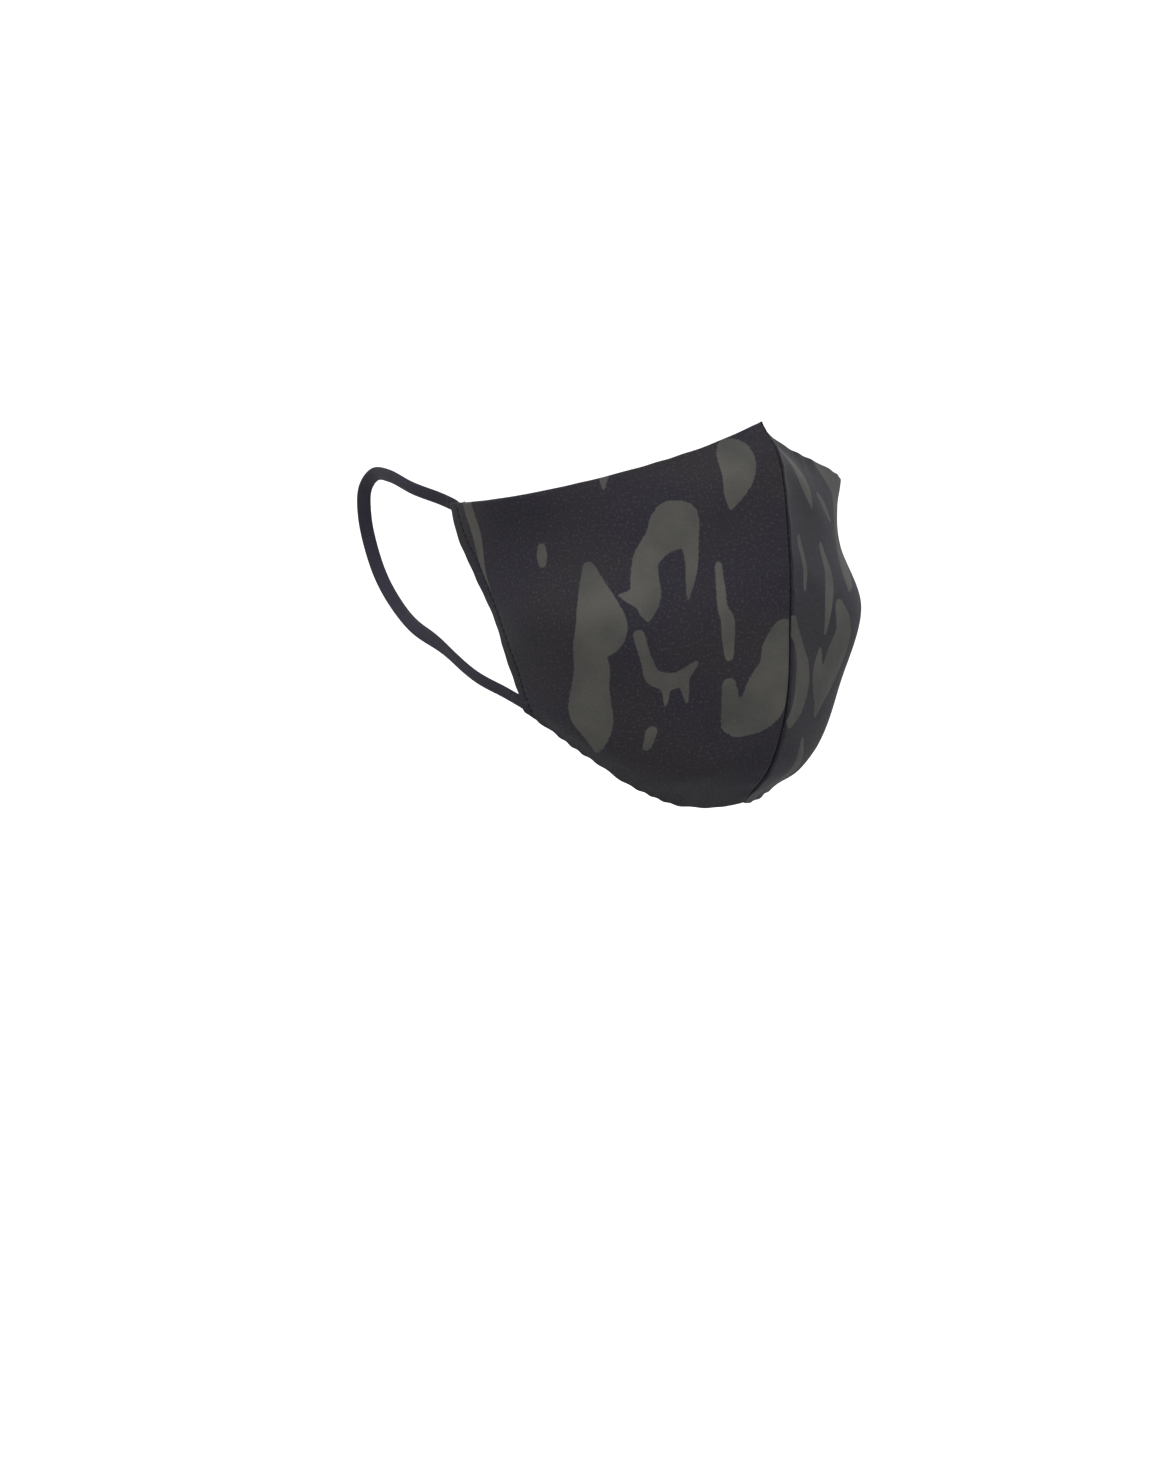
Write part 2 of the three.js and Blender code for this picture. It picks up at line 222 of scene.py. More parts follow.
def row_tape(down):
    """The tape's distances from the seam, in millimetres, along one row."""
    return read_tape(from_seam, tape_shares, np.full(tape_shares.shape, down))


def share_at(distance, down):
    """How far across a row a place is, by metres from the seam, or from the side if negative."""
    distance, down = np.broadcast_arrays(np.asarray(distance, float), np.asarray(down, float))
    shares = np.empty(distance.shape)
    for place in np.ndindex(distance.shape):
        row = row_tape(down[place]) * mm
        wanted = distance[place] if distance[place] >= 0 else row[-1] + distance[place]
        shares[place] = np.interp(wanted, row, tape_shares)
    return shares


# Folds that the cloth takes up when worn: ends of each crease in millimetres on the tape, its
# width, and how proud it stands, with hollows negative.
creases = {
    "right": [
        (6, -60, 34, -34, 7, 0.9), (12, -64, 52, -46, 6, -0.6), (70, -46, 112, -36, 7, 0.55),
        (64, -34, 118, -22, 8, -0.5), (60, 44, 90, 24, 7, 0.7), (40, 56, 74, 30, 7, -0.6),
        (8, 44, 34, 62, 6, 0.7), (4, 30, 30, 42, 7, -0.5), (3, -18, 26, -6, 6, 0.4),
        (3, 4, 24, 10, 6, -0.4), (90, -12, 108, 16, 9, 0.5), (30, -6, 54, 22, 12, 0.5),
    ],
    "left": [
        (6, -58, 38, -36, 7, 0.9), (10, -64, 48, -50, 6, -0.6), (72, -44, 110, -38, 7, 0.6),
        (58, -30, 116, -20, 8, -0.5), (58, 46, 88, 28, 7, 0.6), (42, 54, 70, 32, 7, -0.7),
        (8, 46, 30, 62, 6, 0.6), (4, 26, 32, 40, 7, -0.5), (3, -22, 28, -10, 6, 0.5),
        (3, 8, 26, 12, 6, -0.4), (92, -8, 106, 18, 9, 0.5), (34, -4, 58, 18, 12, 0.6),
        (9, 73, 27, 70, 7, -1.5),
    ],
}
puckers = {"right": 0.0, "left": 1.9}  # where the stitches' small puckers start, as an angle
# Height of the puckers along each edge, how far they reach in from it, both in millimetres
seam_pucker, seam_pucker_reach = 0.2, 4.5
bottom_pucker, bottom_pucker_reach = 0.2, 5
top_pucker, top_pucker_reach = 0.14, 5
side_pucker, side_pucker_reach = 0.07, 3
stitch_pull, stitch_pull_width = 0.26, 0.9  # the groove that the hem stitches pull


def relief(side, across, down):
    """How proud of its cut shape the worn cloth stands, in metres."""
    u, v = read_tape(from_seam, across, down), read_tape(from_middle, across, down)
    proud = np.zeros(u.shape)
    for u1, v1, u2, v2, width, rise in creases[side]:
        along = np.array([u2 - u1, v2 - v1])
        share = np.clip(((u - u1) * along[0] + (v - v1) * along[1]) / (along @ along), 0, 1)
        distance = np.hypot(u - u1 - share * along[0], v - v1 - share * along[1])
        proud += rise * np.exp(-(distance / width)**2) * np.sin(pi * (0.15 + 0.7 * share))
    phase = puckers[side]
    below_top = v - read_tape(from_middle, across, np.zeros_like(down))
    above_bottom = read_tape(from_middle, across, np.ones_like(down)) - v
    before_side = read_tape(from_seam, np.ones_like(across), down) - u
    seam_wave = np.sin(v * 0.62 + phase + 1.7 * np.sin(v * 0.11)) + 0.6 * np.sin(v * 0.27 + 2 * phase)
    proud += seam_pucker * seam_wave * np.exp(-u / seam_pucker_reach) * ease(u, 0.4, 2)
    bottom_wave = np.sin(u * 0.95 + phase + 1.8 * np.sin(u * 0.19)) + 0.7 * np.sin(u * 0.31 + phase)
    proud += bottom_pucker * bottom_wave * np.exp(-above_bottom / bottom_pucker_reach) * ease(u, 4, 16)
    top_wave = np.sin(u * 0.5 + 2 * phase + np.sin(u * 0.17))
    proud += top_pucker * top_wave * np.exp(-below_top / top_pucker_reach) * ease(u, 5, 20)
    proud += side_pucker * np.sin(v * 0.8 + phase) * np.exp(-before_side / side_pucker_reach)
    proud -= stitch_pull * np.exp(-((before_side - hem_stitch_inset / mm) / stitch_pull_width)**2)
    return proud * mm


def lay(side, across, down, depth):
    """Points at a depth in metres below the worn face of one panel."""
    across, down, depth = (np.asarray(value, float) for value in (across, down, depth))
    across, down, depth = np.broadcast_arrays(across, down, depth)
    normal = cut_frame(across, down)[1]
    normal[..., 0] *= ease(read_tape(from_seam, across, down) * mm, 0, seam_soften)
    points = cut_face(across, down) + unit(normal) * (relief(side, across, down) - depth)[..., None]
    return points * mirror(side)


def mirror(side):
    return np.array([1.0 if side == "right" else -1.0, 1, 1])


def grid_faces(rows_count, columns_count, side):
    index = np.arange(rows_count * columns_count).reshape(rows_count, columns_count)
    a, b, c, d = index[:-1, :-1], index[:-1, 1:], index[1:, 1:], index[1:, :-1]
    order = (a, b, c, d) if side == "right" else (a, d, c, b)
    return np.stack(order, axis=-1).reshape(-1, 4)


def smooth_piece(name, points, faces, finish):
    mesh = bpy.data.meshes.new(name)
    mesh.from_pydata(points, [], faces)
    mesh.polygons.foreach_set("use_smooth", [True] * len(faces))
    mesh.materials.append(finish)
    piece = bpy.data.objects.new(name, mesh)
    bpy.context.collection.objects.link(piece)
    return piece


def cloth_piece(name, grid, tape, side, thickness, finish):
    """A sheet through a grid of points, with its tape measure as a UV map in millimetres."""
    faces = grid_faces(*grid.shape[:2], side)
    piece = smooth_piece(name, grid.reshape(-1, 3).tolist(), faces.tolist(), finish)
    measured = piece.data.uv_layers.new(name="cloth").data
    measured.foreach_set("uv", tape.reshape(-1, 2)[faces.ravel()].ravel())
    ply = piece.modifiers.new("ply", "SOLIDIFY")
    ply.thickness = thickness
    ply.offset = -1
    return piece


def spans(start, end, count):
    return list(np.linspace(start, end, count + 1)[:-1])


# Where the columns of points stand, in millimetres from the seam and before the side edge. The
# turned-in hem is 7 mm wide, and its raw edge is tucked under.
near_seam = [0, 0.12, 0.25, 0.4, 0.6, 0.85, 1.2, 1.7, 2.4]
plain_start, plain_end = 3.2, 7.9
hem_places = [7, 6.2, 5.5, 5, 4.5, 4, 3.4, 2.6, 1.7, 0.8]
tuck_places = np.array([7.25, 7.3, 7.1, 6.5])
tuck_rises = np.array([0.06, 0.18, 0.32, 0.36]) * mm
tuck_tape = np.array([7.4, 7.5, 7.7, 8.3])
outer_rows, outer_columns = 150, 100
hem_turn_steps = 10
edge_turn_steps = 8
edge_flap = (0.5, 1.2)  # how far the turned edges run back inside, in millimetres
roll_at_seam = 0.3  # how much of the edges' radius is left beside the seam
roll_grows_over = 4
seam_depth, seam_depth_at_ends = 1.9, 0.3
seam_dip_width = 0.6
seam_end_length = 9  # over which the dip grows from the ends of the seam


def seam_dip(distance, down):
    """How far the outer cloth sinks into the stitched seam, by distance from it in millimetres."""
    away_from_end = ease(np.minimum(down, 1 - down) * seam_length, 0, seam_end_length)
    depth = seam_depth_at_ends + (seam_depth - seam_depth_at_ends) * away_from_end
    return depth * np.exp(-(distance / seam_dip_width)**1.5)


def outer_grid(side):
    """Points and tape of one panel: face, side hem and the part turned in, then the rolled edges."""
    points, tapes = [], []
    inner = np.array(hem_places[::-1])
    for down in np.linspace(0, 1, outer_rows):
        row = row_tape(down)
        length = row[-1]
        plain = spans(plain_start, length - plain_end, outer_columns)
        face = np.array(near_seam + plain + [length - place for place in hem_places])
        across = np.interp(face, row, tape_shares)
        front = lay(side, across, down, seam_dip(face, down) * mm)
        front[0, 0] = -seam_gap * mirror(side)[0]
        edge = lay(side, 1.0, down, 0.0)
        back, normal = (way * mirror(side) for way in cut_frame(np.array(1.0), np.array(down)))
        angles = np.linspace(0, pi, hem_turn_steps + 1)[:, None]
        turn = edge + hem_turn * (normal * (np.cos(angles) - 1) + back * np.sin(angles))
        inner_across = np.interp(length - inner, row, tape_shares)
        returned = lay(side, inner_across, down, 2 * hem_turn)
        tuck_across = np.interp(length - tuck_places, row, tape_shares)
        tucked = lay(side, tuck_across, down, 2 * hem_turn - tuck_rises)
        points.append(np.concatenate([front, turn, returned, tucked]))
        arc = hem_turn / mm * angles[:, 0]
        past = length + arc[-1]
        tape_u = np.concatenate([face, length + arc, past + inner, past + tuck_tape])
        v = read_tape(from_middle, across, np.full(across.shape, down))
        rest = np.full(len(tape_u) - len(face), read_tape(from_middle, 1.0, down))
        tapes.append(np.stack([tape_u, np.concatenate([v, rest])], axis=-1))
    inside = np.ones(len(inner) + len(tuck_places))
    turned = np.concatenate([np.zeros(len(face)), angles[:, 0] / pi, inside])
    roll = edge_turn + (returned_edge_turn - edge_turn) * ease(turned, 0, 1)
    from_fold = tapes[0][:len(face), 0]
    roll[:len(face)] *= roll_at_seam + (1 - roll_at_seam) * ease(from_fold, 0, roll_grows_over)
    return roll_edges(np.array(points), np.array(tapes), roll[:, None], side)


def roll_edges(points, tapes, turn, side):
    """Adds the turned top and bottom edges, each column with its own radius, to a grid of cloth."""
    across_way = np.gradient(points, axis=1)
    down_way = np.gradient(points, axis=0)
    normal = unit(np.cross(across_way, down_way)) * (1 if side == "right" else -1)
    angles = np.linspace(0, pi, edge_turn_steps + 1)[1:]
    blocks, marks = [points], [tapes]
    for row, sign in ((0, -1), (-1, 1)):
        outwards = unit(sign * down_way[row])
        rolled = [points[row] + turn * (np.sin(angle) * outwards + (np.cos(angle) - 1) * normal[row])
                  for angle in angles]
        flap = [rolled[-1] - outwards * length * mm for length in edge_flap]
        distances = [turn * angle for angle in angles]
        distances += [turn * pi + length * mm for length in edge_flap]
        strip = np.array(rolled + flap)
        mark = np.array([tapes[row] + sign * np.concatenate([0 * d, d / mm], axis=1) for d in distances])
        if row == 0:
            blocks.insert(0, strip[::-1])
            marks.insert(0, mark[::-1])
        else:
            blocks.append(strip)
            marks.append(mark)
    return np.concatenate(blocks), np.concatenate(marks)


# The print: soft-ended strokes of grey green on near-black, like dabs of a round brush. Each
# stroke lists where the brush goes on the tape, in millimetres, and how wide it presses.
strokes = {
    "right": [
        [(70, -20, 2.2), (69, -12, 5), (67.5, -3, 8), (67, 2, 9), (71, 9, 6), (70, 17, 6.5), (70, 25, 7),
         (69, 31, 7.5), (65, 38, 5.5), (62, 45, 2.5), (60, 50, 0.4)],
        [(87, -27, 1.5), (87, -24, 2), (87, -21, 1.5)],
        [(13.5, -61, 5), (14.5, -56, 6), (16, -50, 5.3), (18.5, -44, 3.2), (20, -39, 0.5)],
        [(38, -36, 7), (35, -29, 3.4), (34.6, -22, 2.3), (35.5, -15, 1.6), (37, -8, 0.4)],
        [(40, -34.5, 8.5), (44.5, -30, 5.6), (50, -23, 4.5), (51, -17, 4.8), (51, -10, 5), (51, -4, 2.5),
         (51, -1, 0.5)],
        [(52, -9, 4.5), (57, -9.5, 2), (60, -10, 0.5)],
        [(54, 4, 2), (51, 13, 2), (48, 19, 3), (41, 20, 3), (34, 14, 1)],
        [(44, 21, 2), (43, 29, 0.5)],
        [(38, 20, 2), (36, 28, 0.5)],
        [(25.4, -20, 1.2), (25.2, -12, 1.6), (24.8, -5, 1.8), (23.2, -1, 2.4), (22.8, 5, 2.4),
         (22.4, 12, 1.6)],
        [(3, 4, 4), (5, 10, 5.5), (5, 16, 6.5), (8, 24, 8), (10, 31, 8), (16, 36, 5)],
        [(22, 22, 2.5), (20.5, 29, 3.4), (18, 35, 5)],
        [(46, 39, 2), (46, 45, 1.5)],
        [(113.5, -46, 2.5), (114.5, -38, 2.6), (115, -30, 2.2), (114.5, -22, 1.5), (113, -11, 0.4)],
        [(59, -54, 1.5), (61, -49, 0.5)],
    ],
    "left": [
        [(10, -62, 1), (16, -57, 2.5), (22, -50, 4), (27, -43, 3), (29, -38, 0.5)],
        [(50, -58, 5), (60, -53, 8), (70, -46, 9), (68, -36, 8), (64, -27, 7), (59, -19, 6), (54, -13, 5),
         (50, -8, 1.5)],
        [(38.5, -43, 1), (44.5, -38.5, 2), (51, -33, 0.8)],
        [(12, -27, 2), (13, -19, 2), (11, -10, 1)],
        [(34, -24, 2), (34, -15, 3), (29, -6, 3), (25, 6, 1)],
        [(37, -1, 4), (40, 8, 7), (34, 18, 8), (27, 28, 5), (25, 36, 1)],
        [(22, 12, 1), (21, 20, 4), (24, 27, 4)],
        [(1, 2, 3), (6, 10, 3), (9, 19, 5), (9, 29, 5), (4, 36, 3)],
        [(16, 44, 1), (18, 54, 3), (14, 63, 1)],
        [(92, -26, 1.5), (90, -14, 5), (92, 0, 7), (88, 12, 5), (86, 24, 1)],
        [(70, 4, 1), (67, 14, 3), (62, 23, 4), (54, 27, 1)],
        [(64, 24, 2), (66, 33, 0.5)],
        [(54, 42, 2), (49, 49, 4), (40, 53, 1)],
        [(76, -4, 2), (76, -1, 2)],
        [(106, -38, 1), (110, -28, 3), (108, -16, 1)],
        [(104, 14, 2), (103, 22, 1.5)],
    ],
}
dabs_per_step = 7
unprinted = -20.0  # millimetres, as far outside the strokes as matters


def print_distance(side, tape):
    """Millimetres inside the printed strokes, negative outside them."""
    u, v = tape[..., 0], tape[..., 1]
    inside = np.full(u.shape, unprinted)
    for stroke in strokes[side]:
        dabs = smooth_line(stroke, np.linspace(0, 1, dabs_per_step * (len(stroke) - 1) + 1))
        for (u1, v1, r1), (u2, v2, r2) in zip(dabs, dabs[1:]):
            along = np.array([u2 - u1, v2 - v1])
            share = np.clip(((u - u1) * along[0] + (v - v1) * along[1]) / (along @ along), 0, 1)
            brush = r1 + (r2 - r1) * share
            away = np.hypot(u - u1 - share * along[0], v - v1 - share * along[1])
            inside = np.maximum(inside, brush - away)
    return inside


def mark_print(piece, side, tape):
    """Writes on each point of a piece how far inside the print it is."""
    marks = piece.data.attributes.new("print", "FLOAT", "POINT")
    marks.data.foreach_set("value", print_distance(side, tape).ravel())


def add_node(tree, kind, inputs, **settings):
    """A node with its settings, its plain values and its links from other nodes' outputs."""
    made = tree.nodes.new(kind)
    for name, value in settings.items():
        setattr(made, name, value)
    for socket, value in inputs.items():
        if isinstance(value, bpy.types.NodeSocket):
            tree.links.new(value, made.inputs[socket])
        else:
            made.inputs[socket].default_value = value
    return made


def reckon(tree, operation, first, second):
    return add_node(tree, "ShaderNodeMath", {0: first, 1: second}, operation=operation).outputs[0]


def mix(tree, share, first, second):
    inputs = {0: share, 6: first, 7: second}
    return add_node(tree, "ShaderNodeMix", inputs, data_type="RGBA").outputs[2]


def noise(tree, place, scale, detail=2.0):
    inputs = {"Vector": place, "Scale": scale, "Detail": detail}
    return add_node(tree, "ShaderNodeTexNoise", inputs).outputs["Fac"]


def between(tree, value, low_end, high_end):
    """The value's place between two ends, from 0 to 1."""
    inputs = {"Value": value, "From Min": low_end, "From Max": high_end}
    return add_node(tree, "ShaderNodeMapRange", inputs, interpolation_type="SMOOTHSTEP").outputs["Result"]


def weave(tree, place, pitch):
    """Height of a plain weave: warp and weft threads that pass over and under each other."""
    split = add_node(tree, "ShaderNodeSeparateXYZ", {"Vector": place})
    warp = reckon(tree, "SINE", reckon(tree, "MULTIPLY", split.outputs["X"], pi / pitch), 0)
    weft = reckon(tree, "SINE", reckon(tree, "MULTIPLY", split.outputs["Y"], pi / pitch), 0)
    crossing = reckon(tree, "MULTIPLY", warp, weft)
    ribs = reckon(tree, "ABSOLUTE", crossing, 0)
    return reckon(tree, "ADD", reckon(tree, "MULTIPLY", crossing, 0.25), reckon(tree, "POWER", ribs, 0.5))


def blank_finish(name):
    finish = bpy.data.materials.new(name)
    finish.use_nodes = True
    return finish, finish.node_tree, finish.node_tree.nodes["Principled BSDF"]


def dress(tree, shader, colour, surface, strength, relief_height, constants):
    """Gives the shader its colour and fine relief, and what is the same all over."""
    heights = {"Height": surface, "Strength": strength, "Distance": relief_height}
    bump = add_node(tree, "ShaderNodeBump", heights)
    tree.links.new(colour, shader.inputs["Base Color"])
    tree.links.new(bump.outputs["Normal"], shader.inputs["Normal"])
    for socket, value in constants.items():
        shader.inputs[socket].default_value = value


def cloth_finish(name, colours, pitch, printed):
    """Matt woven cloth: the colours of its ground, of its other cast and of lint, then the print's."""
    finish, tree, shader = blank_finish(name)
    place = add_node(tree, "ShaderNodeUVMap", {}, uv_map="cloth").outputs["UV"]
    ground, cast, lint = colours
    colour = mix(tree, between(tree, noise(tree, place, 0.028, 3), 0.38, 0.62), ground, cast)
    if printed:
        bled = reckon(tree, "SUBTRACT", noise(tree, place, 0.9, 3), 0.5)
        edge = reckon(tree, "MULTIPLY", bled, 0.9)
        distance = add_node(tree, "ShaderNodeAttribute", {}, attribute_name="print").outputs["Fac"]
        inside = between(tree, reckon(tree, "ADD", distance, edge), -0.22, 0.22)
        ink = mix(tree, between(tree, noise(tree, place, 0.05, 4), 0.3, 0.7), printed[0], printed[1])
        colour = mix(tree, inside, colour, ink)
        # Painted shade: next to the seam the colour is darkened towards near black, for the shade in the
        # pinched seam
        from_fold = add_node(tree, "ShaderNodeSeparateXYZ", {"Vector": place}).outputs["X"]
        colour = mix(tree, between(tree, from_fold, *painted_seam_shade_span), painted_seam_shade_colour, colour)
    threads = weave(tree, place, pitch)
    shaded = mix(tree, between(tree, threads, -0.3, 1.1), (0, 0, 0, 1), colour)
    colour = mix(tree, 0.3, colour, shaded)
    specks = between(tree, noise(tree, place, 1.1, 5), 0.5, 0.78)
    colour = mix(tree, reckon(tree, "MULTIPLY", specks, 0.3), colour, lint)
    fuzz = noise(tree, place, 2.6, 5)
    surface = reckon(tree, "ADD", threads, reckon(tree, "MULTIPLY", fuzz, 0.9))
    dress(tree, shader, colour, surface, 0.55, 0.07 * mm,
          {"Roughness": 0.86, "Specular IOR Level": 0.12, "Sheen Weight": 0.03,
           "Sheen Roughness": 0.45, "Sheen Tint": (0.75, 0.76, 0.85, 1)})
    return finish


# Painted shade beside the seam: over these millimetres from the fold, the printed cloth's colour darkens
# to this near black, standing in for the shade where the two faces meet at the seam and pinch out the
# light
painted_seam_shade_span = (0.1, 0.8)
painted_seam_shade_colour = (0.0015, 0.0015, 0.002, 1)
outer_colours = [(0.0115, 0.0101, 0.0120, 1), (0.0103, 0.0092, 0.0134, 1), (0.055, 0.053, 0.057, 1)]
print_colours = [(0.0300, 0.0300, 0.0282, 1), (0.0450, 0.0436, 0.0388, 1)]
outer_finish = cloth_finish("printed_cloth", outer_colours, 0.42, print_colours)

for side in ("right", "left"):
    grid, tape = outer_grid(side)
    panel = cloth_piece(f"outer_cloth_{side}", grid, tape, side, cloth_thickness, outer_finish)
    mark_print(panel, side, tape)
    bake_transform(panel)
    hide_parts(f"{side}_outer_panel")


# Centre seam: the panels' front edges turn in and are sewn together, so two plies of allowance
# stand behind the seam. They are the same cloth, held together by one line of lockstitch.
fold_depth, raw_edge_depth = 1.0, 6.0  # millimetres below the face, in the middle of the seam
allowance_depths = np.linspace(fold_depth, raw_edge_depth, 9)
allowance_downs = np.linspace(0.012, 0.988, 120)
allowance_thickness = 0.12 * mm
allowance_spread = 0.22 * mm  # of each ply, sideways from the middle
allowance_wave = 0.35  # how much of that spread comes and goes along the seam
shortest_share = 0.08  # how much of its depth is left where it is trimmed at its ends


def open_room(down):
    """How far the layers stand apart behind the seam: closed where the edge seams cross it."""
    return ease(np.minimum(down, 1 - down) * seam_length, 1.5, 13)


def trimmed(depths, downs):
    """Depths behind the seam, drawn up to the fold towards the ends of the seam."""
    left_over = shortest_share + (1 - shortest_share) * open_room(downs)
    return fold_depth + (depths - fold_depth) * left_over


def seam_ply(side, depths, downs):
    """Points of one ply behind the seam, from its fold to its raw edge."""
    ply = lay(side, 0.0, downs, trimmed(depths, downs) * mm)
    wave = 1 + allowance_wave * np.sin(downs * 61 + depths * 0.7)
    ply[..., 0] = -mirror(side)[0] * (allowance_spread * ease(depths, 0.8, 2.0) * wave + seam_gap)
    return ply


for side in ("right", "left"):
    depths, downs = np.meshgrid(allowance_depths, allowance_downs)
    tape = np.stack([-depths, read_tape(from_middle, np.zeros_like(downs), downs)], axis=-1)
    ply = seam_ply(side, depths, downs)
    # Their tape runs below zero, so the painted seam shade darkens them to near black all over
    allowance = cloth_piece(f"seam_allowance_{side}", ply, tape, side, allowance_thickness, outer_finish)
    mark_print(allowance, side, tape)
    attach(allowance, "centre_seam")
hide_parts("centre_seam_ridge")


def thread_finish(name, colour, worn_colour):
    """Twisted polyester sewing thread."""
    finish, tree, shader = blank_finish(name)
    place = add_node(tree, "ShaderNodeTexCoord", {}).outputs["Object"]
    worn = mix(tree, noise(tree, place, 900), colour, worn_colour)
    waves = {"Vector": place, "Scale": 1100.0, "Distortion": 2.0}
    twist = add_node(tree, "ShaderNodeTexWave", waves, bands_direction="DIAGONAL").outputs["Fac"]
    dress(tree, shader, worn, twist, 0.6, 0.05 * mm, {"Roughness": 0.75, "Specular IOR Level": 0.08})
    return finish


# One stitch, from the hole where it comes up to the hole where it goes down: where its rings
# of points are, how far they stand off the cloth and how thick they are, in thread radii
stitch_shares = np.array([0, 0.06, 0.2, 0.4, 0.6, 0.8, 0.94, 1])
stitch_rise = np.array([-1.6, -0.2, 0.5, 0.8, 0.8, 0.5, -0.2, -1.6])
stitch_swell = np.array([0.7, 0.9, 1, 1, 1, 1, 0.9, 0.7])
thread_sides = 8
thread_radius = 0.16 * mm


def lengths_along(points):
    """The length along a line from its start to each of its points."""
    return np.concatenate([[0], np.cumsum(np.linalg.norm(np.diff(points, axis=0), axis=1))])


def read_line(places, lengths, values):
    """Points or directions at places along a line, from those at the given lengths."""
    return np.stack([np.interp(places, lengths, values[:, k]) for k in range(3)], axis=-1)


def tube_faces(first, rings, sides):
    """Faces of a closed tube whose rings of points follow one another from the first point on."""
    faces = []
    for ring in range(rings - 1):
        for k in range(sides):
            a = first + ring * sides + k
            b = first + ring * sides + (k + 1) % sides
            faces.append((a, a + sides, b + sides, b))
    last = first + (rings - 1) * sides
    faces.append(tuple(range(first, first + sides)))
    faces.append(tuple(reversed(range(last, last + sides))))
    return faces


def sew(name, lines, stitch, gap, finish, radius=thread_radius):
    """Stitches along lines: each line is its points and which way the thread lies off the cloth."""
    verts, faces = [], []
    around = np.linspace(0, 2 * pi, thread_sides, endpoint=False)[None, :, None]
    for points, lifts in lines:
        lengths = lengths_along(points)
        for start in np.arange(gap / 2, lengths[-1] - stitch + 1e-6, stitch + gap):
            places = start + stitch * stitch_shares
            lift = unit(read_line(places, lengths, lifts))
            centre = read_line(places, lengths, points) + lift * (radius * stitch_rise)[:, None]
            along = unit(np.gradient(centre, axis=0))
            sideways = unit(np.cross(along, lift))
            upright = np.cross(sideways, along)
            ring = np.cos(around) * sideways[:, None] + np.sin(around) * upright[:, None]
            ring = centre[:, None] + ring * (radius * stitch_swell)[:, None, None]
            faces.extend(tube_faces(len(verts), len(stitch_shares), thread_sides))
            verts.extend(ring.reshape(-1, 3).tolist())
    piece = smooth_piece(name, verts, faces, finish)
    return piece


dark_thread = thread_finish("dark_thread", (0.0045, 0.0045, 0.0055, 1), (0.00855, 0.00855, 0.01045, 1))
seam_stitch, seam_stitch_gap = 2.2 * mm, 0.4 * mm
seam_stitch_depth = 5.6  # millimetres below the face, just short of the raw edges
sewn_downs = np.linspace(0.06, 0.94, 300)
thread_from_middle = 1.4 * allowance_spread + 0.3 * mm  # clear of the waves in the plies
seam_lines = []
for side in ("right", "left"):
    away = np.tile([-mirror(side)[0], 0, 0], (len(sewn_downs), 1))
    behind = lay(side, 0.0, sewn_downs, trimmed(seam_stitch_depth, sewn_downs) * mm)
    behind[:, 0] = -mirror(side)[0] * thread_from_middle
    seam_lines.append((behind, away))
seam_stitches = sew("centre_seam_stitches", seam_lines, seam_stitch, seam_stitch_gap, dark_thread)
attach(seam_stitches, "centre_seam")
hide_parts("centre_seam_thread")


# Lining, right and left: plain soft cotton cut to the same curve as the outer cloth. It hangs
# clear of the seam allowance behind the cup, and its side edge lies under the turned-in hem.
lining_depth = 2.05  # millimetres below the outer face to the side that the wearer feels
lining_at_seam = 7.2
lining_thickness = 0.3 * mm
lining_ease = 0.3  # share of a row over which the lining comes off the allowance
marked_seam = 146  # millimetres, the seam's length that insets from its ends are shares of
lining_inset = 0.9 / marked_seam
lining_end = 1.2  # millimetres before the side edge
lining_turn = 0.3 * mm
lining_dip = 0.6  # how much of the outer cloth's dip into the seam the lining follows
lining_rows, lining_columns = 140, 90
lining_colours = [(0.016, 0.016, 0.018, 1), (0.013, 0.013, 0.017, 1), (0.06, 0.06, 0.066, 1)]
lining_finish = cloth_finish("lining_cotton", lining_colours, 0.36, None)


def lining_depth_at(across, down):
    """Millimetres below the outer face: deep where it hangs over the allowance, else close."""
    room = (lining_at_seam - lining_depth) * open_room(down)
    return lining_depth + room * (1 - ease(across, 0, lining_ease))


def lining_grid(side):
    """Points and tape of one lining panel, and the side that its smooth face is turned to."""
    points, tapes = [], []
    for down in np.linspace(lining_inset, 1 - lining_inset, lining_rows):
        row = row_tape(down)
        end = row[-1] - lining_end
        place = np.array(near_seam + spans(plain_start, end, lining_columns) + [end])
        across = np.interp(place, row, tape_shares)
        depth = lining_depth_at(across, down) - lining_dip * seam_dip(place, down)
        laid = lay(side, across, down, depth * mm)
        laid[0, 0] = -seam_gap * mirror(side)[0]
        points.append(laid)
        v = read_tape(from_middle, across, np.full(across.shape, down))
        tapes.append(np.stack([place, v], axis=-1))
    facing = "left" if side == "right" else "right"
    turn = np.full((len(points[0]), 1), lining_turn)
    rolled, marks = roll_edges(np.array(points), np.array(tapes), turn, facing)
    return rolled, marks, facing


for side in ("right", "left"):
    grid, tape, facing = lining_grid(side)
    lining = cloth_piece(f"lining_{side}", grid, tape, facing, lining_thickness, lining_finish)
    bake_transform(lining)
    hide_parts(f"{side}_lining_panel")

lining_stitch_depth = lining_depth_at(0, sewn_downs) - 0.5  # just in front of the lining
lining_line = lay("right", 0.0, sewn_downs, lining_stitch_depth * mm) * (0, 1, 1)
inwards = unit(lay("right", 0.0, sewn_downs, 1.0) - lay("right", 0.0, sewn_downs, 0.0))
lining_lines = [(lining_line, inwards)]
lining_stitches = sew("lining_seam_stitches", lining_lines, seam_stitch, seam_stitch_gap, dark_thread)
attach(lining_stitches, "centre_seam")
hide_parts("lining_seam_thread")


